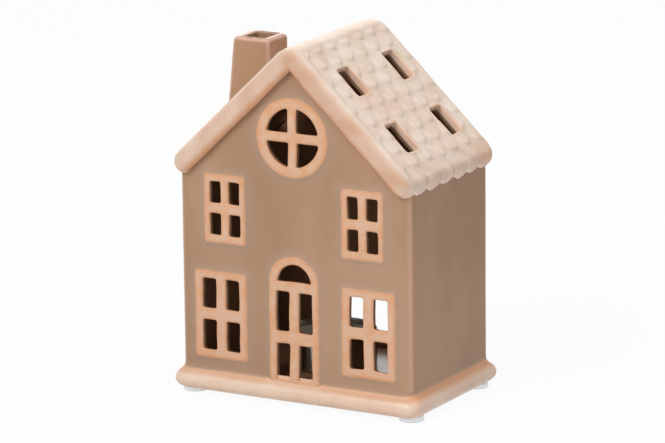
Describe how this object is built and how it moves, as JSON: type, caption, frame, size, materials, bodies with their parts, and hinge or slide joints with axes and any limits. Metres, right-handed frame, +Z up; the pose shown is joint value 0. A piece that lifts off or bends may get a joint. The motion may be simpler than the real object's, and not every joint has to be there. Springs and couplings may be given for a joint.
{
  "type": "tealight house",
  "caption": "Glazed ceramic house that holds a tealight: gabled walls with framed windows and a door, a slotted fish-scale roof, a chimney flue and an opening at the back.",
  "frame": {"origin": "on the table, under the middle of the house", "axes": "+Z up, the door faces -Y, +X to the right of the door seen from the front"},
  "size_m": [0.1174, 0.0766, 0.1521],
  "materials": {
    "wall_glaze": "glossy mocha glaze",
    "peach_glaze": "glossy peach glaze",
    "roof_glaze": "satin cream glaze",
    "clear_bumper": "clear soft polymer",
    "cup_metal": "bright drawn metal",
    "wax": "wax, slightly translucent",
    "wick": "braided cotton"
  },
  "bodies": {
    "house": {"house_walls": "wall_glaze", "plinth_base": "peach_glaze", "roof_shell": "roof_glaze", "left_roof_tiles": "roof_glaze", "right_roof_tiles": "roof_glaze", "chimney": "wall_glaze", "door_frame": "peach_glaze", "round_window_frame": "peach_glaze", "upper_left_window_frame": "peach_glaze", "upper_right_window_frame": "peach_glaze", "lower_left_window_frame": "peach_glaze", "lower_right_window_frame": "peach_glaze", "foot_front_left": "clear_bumper", "foot_front_right": "clear_bumper", "foot_back_left": "clear_bumper", "foot_back_right": "clear_bumper"},
    "tealight": {"tealight_cup": "cup_metal", "tealight_wax": "wax", "tealight_wick": "wick", "wick_sustainer": "cup_metal"}
  },
  "joints": [
    {"name": "tealight_slide", "type": "slide", "parent": "house", "child": "tealight", "axis": [0, 0.9294, 0.369], "range_m": [0, 0.064]}
  ]
}
